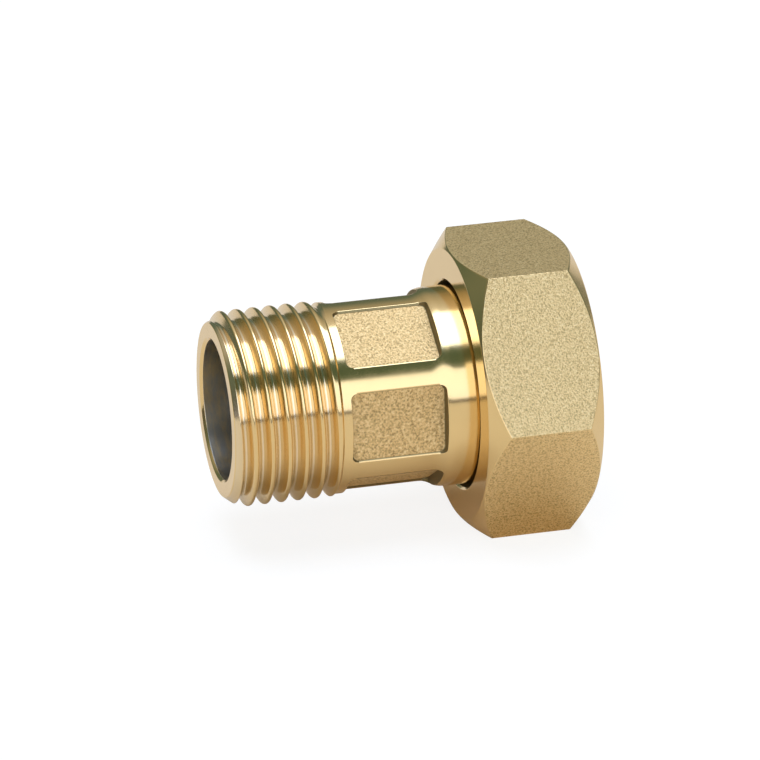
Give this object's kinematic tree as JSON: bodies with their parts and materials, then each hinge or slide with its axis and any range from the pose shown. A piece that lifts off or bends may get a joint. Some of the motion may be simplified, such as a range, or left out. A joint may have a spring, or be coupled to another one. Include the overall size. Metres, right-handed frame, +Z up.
{
  "type": "pipe union",
  "caption": "Brass pipe union half: a male-threaded tailpiece with spanner flats, a loose hexagonal swivel nut and a flat sealing washer.",
  "frame": {"origin": "on the axis, at the collar's sealing face, where the waterway opens inside the nut", "axes": "+X along the axis, out of the nut's mouth, so the pipe thread points to -X; +Z up, square to two of the nut's flats"},
  "size_m": [0.0386, 0.034, 0.0296],
  "materials": {
    "turned_brass": "bright turned",
    "forged_brass": "forged and shot-blasted, with turned ends",
    "washer_rubber": "matt"
  },
  "bodies": {
    "tailpiece": {"tailpiece": "turned_brass"},
    "washer": {"sealing_washer": "washer_rubber"},
    "nut": {"union_nut": "forged_brass"}
  },
  "joints": [
    {"name": "swivel", "type": "hinge", "parent": "tailpiece", "child": "washer", "pos_m": [0, 0, 0], "axis": [1, 0, 0], "continuous": true},
    {"name": "nut_slide", "type": "slide", "parent": "washer", "child": "nut", "axis": [-1, 0, 0], "range_m": [0, 0.025]}
  ]
}
